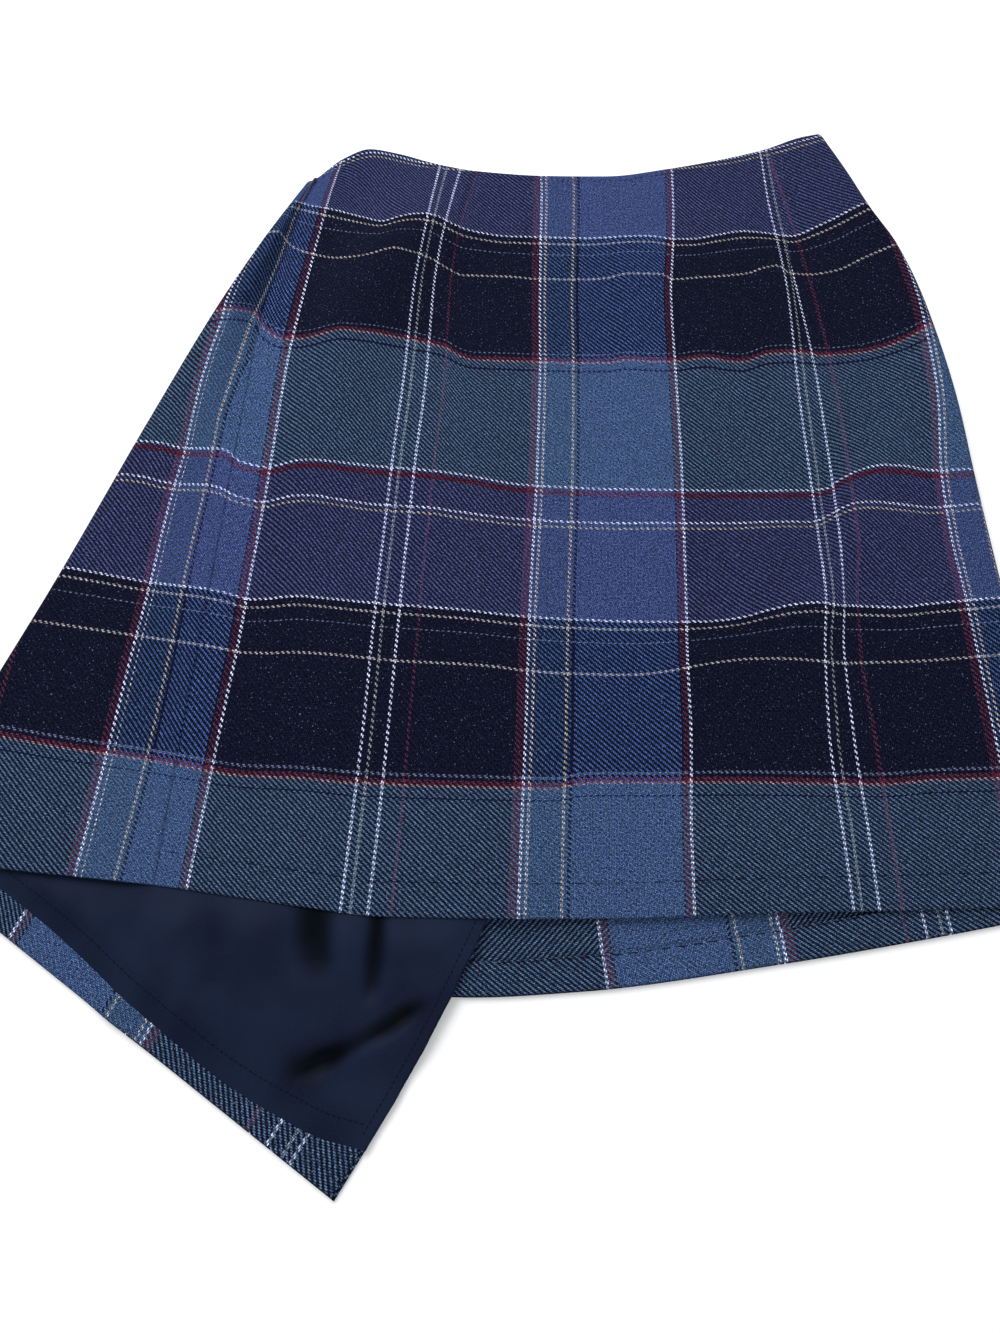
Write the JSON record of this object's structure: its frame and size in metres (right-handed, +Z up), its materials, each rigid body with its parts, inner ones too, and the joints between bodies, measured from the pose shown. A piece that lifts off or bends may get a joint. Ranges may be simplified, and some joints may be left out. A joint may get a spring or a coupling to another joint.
{
  "type": "wrap skirt",
  "caption": "Plaid twill wrap skirt laid flat on its front, back panel up, pointed inner wrap panel and lining showing below the hem.",
  "frame": {"origin": "on the table, on the underside of the outer wrap panel, under the middle of the back hem", "axes": "+Z up from the table, +Y up the centre back towards the waist, +X to the viewer's right with the back facing up"},
  "size_m": [0.6763, 0.7142, 0.0224],
  "materials": {
    "plaid_twill": "brushed cotton twill in a navy, blue and teal plaid with fine white, yellow and red lines",
    "lining_satin": "navy satin with a soft sheen"
  },
  "bodies": {
    "root": {"back_panel": "plaid_twill", "inner_wrap_panel": "plaid_twill", "outer_wrap_panel": "plaid_twill", "inner_wrap_lining": "lining_satin", "inner_wrap_hem": "plaid_twill", "outer_wrap_hem": "plaid_twill"}
  },
  "joints": []
}
